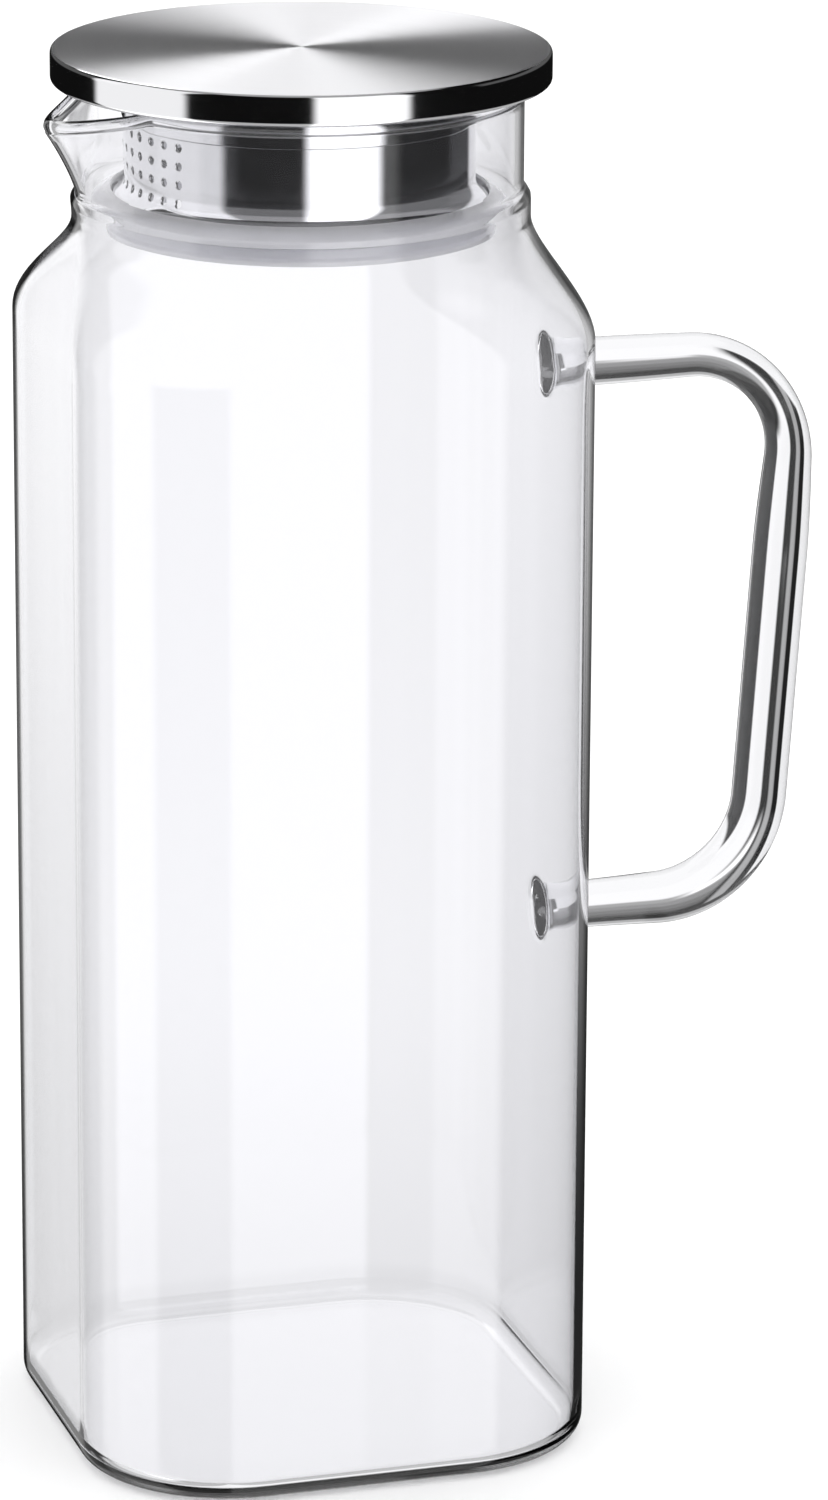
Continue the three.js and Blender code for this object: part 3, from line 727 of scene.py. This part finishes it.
# a turned profile. Its top is brushed, and the rest is polished
def makeCap():
    inner = cap["radius"] - cap["sheet"]
    hem = cap["radius"] - cap["hem"]
    hemTop = cap["foot"] + cap["sheet"]
    underTop = cap["top"] - cap["sheet"]
    outline = [(0, underTop), (inner, underTop), (inner, hemTop), (hem, hemTop), (hem, cap["foot"]),
               (cap["radius"], cap["foot"]), (cap["radius"], cap["top"]), (0, cap["top"])]
    profile = softened(outline, cap["edge"])
    disc = np.linspace(profile[-2][0], 0, cap["topRings"] + 1)[1:]
    profile = np.concatenate([profile[:-1], np.stack([disc, np.full_like(disc, cap["top"])], 1)])
    onTop = (profile[1:, 1] + profile[:-1, 1]) / 2 > cap["top"] - cap["brushedDepth"]
    finish = np.where(onTop, 0, 1)[:, None]
    piece = makePiece("lid_cap_shell", [turned(profile, cap["sides"], finish)], [brushedSteel, polishedSteel])
    dress(piece, "lid", "brushed_steel", "lid_cap")


makeCap()

# Underplate: its edge lies on the hem of the cap, its step seats on the rim and its middle plugs the sleeve
plateBox = np.array(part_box("lid_underplate")) / mm
plate = {"edge": plateBox[1][0], "foot": plateBox[0][2], "top": plateBox[1][2], "step": 42.0, "plug": 30.1,
         "seat": 250.3, "sheet": 0.8, "bend": 0.5}


# a turned profile: out along the underside and back along the top, one sheet above it
def makeUnderplate():
    p = plate
    sheet = p["sheet"]
    outline = [(0, p["foot"]), (p["plug"], p["foot"]), (p["plug"], p["seat"]), (p["step"], p["seat"]),
               (p["step"], p["top"] - sheet), (p["edge"], p["top"] - sheet), (p["edge"], p["top"]),
               (p["step"] - sheet, p["top"]), (p["step"] - sheet, p["seat"] + sheet),
               (p["plug"] - sheet, p["seat"] + sheet), (p["plug"] - sheet, p["foot"] + sheet),
               (0, p["foot"] + sheet)]
    piece = makePiece("lid_underplate_pressing", [turned(softened(outline, p["bend"]))], [pressedSteel])
    dress(piece, "lid", "brushed_steel", "lid_underplate")


makeUnderplate()

# Collar that clamps the head of the sleeve
collarBox = np.array(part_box("sleeve_collar")) / mm
collar = {"outer": collarBox[1][0], "foot": collarBox[0][2], "top": collarBox[1][2], "sheet": 0.6, "edge": 0.25}


# a turned rectangle
def makeCollar():
    inner = collar["outer"] - collar["sheet"]
    outline = [(inner, collar["foot"]), (collar["outer"], collar["foot"]), (collar["outer"], collar["top"]),
               (inner, collar["top"])]
    profile = softened(outline, collar["edge"], closed=True)
    piece = makePiece("sleeve_collar_ring", [turned(profile)], [polishedSteel])
    dress(piece, "lid", "polished_steel", "sleeve_collar")


makeCollar()

# Strainer sleeve: a tube with a flared foot, punched with a field of holes that faces the lip
sleeveBox = np.array(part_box("strainer_sleeve")) / mm
sleeve = {
    "radius": 31.0, "top": sleeveBox[1][2], "sheet": 0.6, "flare": 3.4, "flareAngle": 80, "straight": 16.65,
    "hole": 0.8, "holeColumns": 10, "holeRows": 4, "columnPitch": 3.7, "rowPitch": 3.3, "topRow": 7.6,
    "steps": 8,                            # quads along each side of a hole's cell
    "cellRings": (0, 0.03, 0.25, 0.6, 1),  # shares of the way from the cell's hole to its edge
    "plainColumns": 190, "rowsAbove": 7, "rowsBelow": 5,
}


# around and down are lengths on the sheet; the tube is straight and then turns outwards on a circle
def onSleeve(around, down):
    s = sleeve
    turn = np.clip((down - s["straight"]) / s["flare"], 0, None)
    radius = s["radius"] + s["flare"] * (1 - np.cos(turn))
    height = s["top"] - np.minimum(down, s["straight"]) - s["flare"] * np.sin(turn)
    angle = pi + around / s["radius"]
    return np.stack(np.broadcast_arrays(radius * np.cos(angle), radius * np.sin(angle), height), -1)


# a grid on the sheet that is left open over the field, and the field's cells
def makeSleeve():
    s = sleeve
    steps = s["steps"]
    fieldWide, fieldHigh = s["holeColumns"] * s["columnPitch"], s["holeRows"] * s["rowPitch"]
    fieldTop = s["topRow"] - s["rowPitch"] / 2
    foot = s["straight"] + s["flare"] * radians(s["flareAngle"])
    girth = 2 * pi * s["radius"]
    across = np.linspace(-fieldWide / 2, fieldWide / 2, s["holeColumns"] * steps + 1)
    rest = np.linspace(fieldWide / 2, girth - fieldWide / 2, s["plainColumns"] + 1)[1:-1]
    around = np.concatenate([across, rest])
    above = np.concatenate([[0, guard], np.linspace(0, fieldTop, s["rowsAbove"] + 1)[1:-1]])
    field = np.linspace(fieldTop, fieldTop + fieldHigh, s["holeRows"] * steps + 1)
    below = np.concatenate([np.linspace(fieldTop + fieldHigh, foot, s["rowsBelow"] + 1)[1:-1],
                            [foot - guard, foot]])
    down = np.concatenate([above, field, below])
    inColumns = np.arange(len(around)) < len(across) - 1
    quadRow = np.arange(len(down) - 1)
    inRows = (quadRow >= len(above)) & (quadRow < len(above) + len(field) - 1)
    tube = surface(onSleeve(around[None, :], down[:, None])[::-1], keep=~(inRows[::-1, None] & inColumns))

    # one cell of the field: rings of quads from a round hole out to the cell's square edge, repeated over the field
    half = np.full(steps, 0.5)
    along = np.linspace(-0.5, 0.5, steps + 1)[:-1]
    edge = np.concatenate([np.stack([along, -half], 1), np.stack([half, along], 1), np.stack([-along, half], 1),
                           np.stack([-half, -along], 1)]) * (s["columnPitch"], s["rowPitch"])
    turn = np.arctan2(edge[:, 1], edge[:, 0])
    hole = s["hole"] * np.stack([np.cos(turn), np.sin(turn)], 1)
    spread = np.array(s["cellRings"])[:, None, None]
    cell = edge + (hole - edge) * (1 - spread)
    surfaces = [tube]
    for row in range(s["holeRows"]):
        for column in range(s["holeColumns"]):
            middle = ((column + 0.5) * s["columnPitch"] - fieldWide / 2, s["topRow"] + row * s["rowPitch"])
            at = cell + middle
            surfaces.append(surface(onSleeve(at[..., 0], at[..., 1])))
    piece = makePiece("strainer_sleeve_tube", surfaces, [polishedSteel])
    wall = piece.modifiers.new("sheet", "SOLIDIFY")
    wall.thickness = s["sheet"] * mm
    wall.offset = -1
    wall.use_even_offset = True
    dress(piece, "lid", "polished_steel", "strainer_sleeve")


makeSleeve()

# Seal: a fin that wipes the neck, a body, and a groove round the flared foot of the sleeve
sealBox = np.array(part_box("seal_ring")) / mm
seal = {
    "fin": sealBox[1][0], "foot": sealBox[0][2], "bore": 31.0, "body": 34.2, "finTop": 228.6, "finEdge": 0.9,
    "finRoot": 0.8, "footLip": 0.6, "footHeight": 0.9,
    "grip": 9,                             # degrees of the flare that the lap covers
    "gripWall": 0.7, "gap": 0.3, "soft": 0.18, "lapSteps": 3, "grooveSteps": 6,
}


# a turned profile: up the outside to the fin, in over the lap, and back round the flare, a gap away from it
def makeSeal():
    s = seal
    centre = (sleeve["radius"] + sleeve["flare"], sleeve["top"] - sleeve["straight"])
    flareEnd = 180 + sleeve["flareAngle"]
    over, under = sleeve["flare"] - s["gap"], sleeve["flare"] + sleeve["sheet"] + s["gap"]
    grooveEnd = flareEnd + np.degrees(s["gap"] / sleeve["flare"])
    grooveStart = 180 + np.degrees(np.arccos(sleeve["flare"] / under))
    lapEnd = flareEnd - s["grip"]
    footTop = s["foot"] + s["footHeight"]
    finFoot = s["finTop"] - s["finEdge"]
    outline = np.concatenate([
        [(s["bore"], s["foot"]), (s["body"] + s["footLip"], s["foot"]), (s["body"] + s["footLip"], footTop),
         (s["body"], footTop + s["footLip"]), (s["body"], finFoot - s["finRoot"]), (s["fin"], finFoot),
         (s["fin"], s["finTop"])],
        arcPoints(centre, over - s["gripWall"], lapEnd, lapEnd, 0),
        arcPoints(centre, over, lapEnd, grooveEnd, s["lapSteps"]),
        arcPoints(centre, under, grooveEnd, grooveStart, s["grooveSteps"])])
    profile = softened(outline, s["soft"], closed=True)
    piece = makePiece("seal_ring_moulding", [turned(profile)], [silicone])
    dress(piece, "seal", "silicone", "seal_ring")


makeSeal()

# Floor: a wide matt board just under the base. Glass and steel see the studio in its place
floor = {"radius": 4000.0, "below": 0.3, "rings": 8, "sides": 96}


# a flat turned disc
def makeFloor():
    radius = np.linspace(floor["radius"], 0, floor["rings"] + 1)
    profile = np.stack([radius, np.full_like(radius, -floor["below"])], 1)
    piece = makePiece("floor_board", [turned(profile, floor["sides"])], [board])
    piece.visible_glossy = False
    piece.visible_transmission = False


makeFloor()
print("floor laid")
